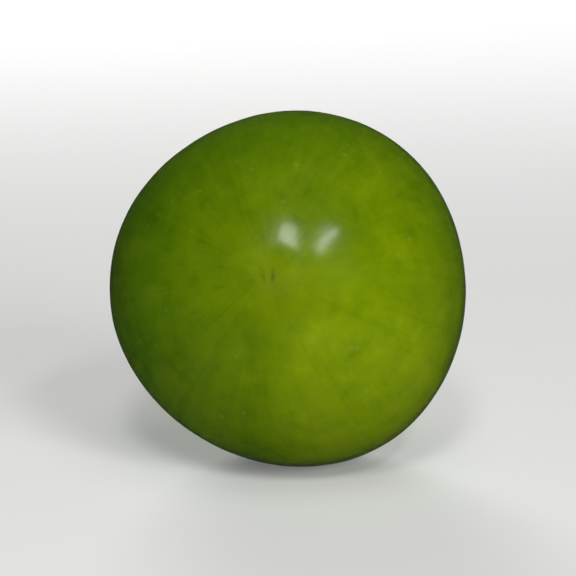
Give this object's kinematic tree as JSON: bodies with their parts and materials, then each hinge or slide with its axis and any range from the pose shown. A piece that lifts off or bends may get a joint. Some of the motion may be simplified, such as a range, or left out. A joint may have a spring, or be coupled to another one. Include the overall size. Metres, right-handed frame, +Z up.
{
  "type": "tomatillo",
  "caption": "Husked tomatillo: a round green fruit with a corky stem scar in a shallow dimple and a tiny blossom scar, lying on a small flat spot.",
  "frame": {"origin": "centre of the bounding box's underside, on the surface that the fruit lies on", "axes": "+Z up; -Y is the side that the blossom end looks towards, and the stem scar is on the +Y side"},
  "size_m": [0.0442, 0.0416, 0.0438],
  "materials": {
    "skin": "smooth, waxy and faintly translucent yellow-green skin, with a dry tan corky scar at the stem end"
  },
  "bodies": {
    "root": {"fruit": "skin"}
  },
  "joints": []
}
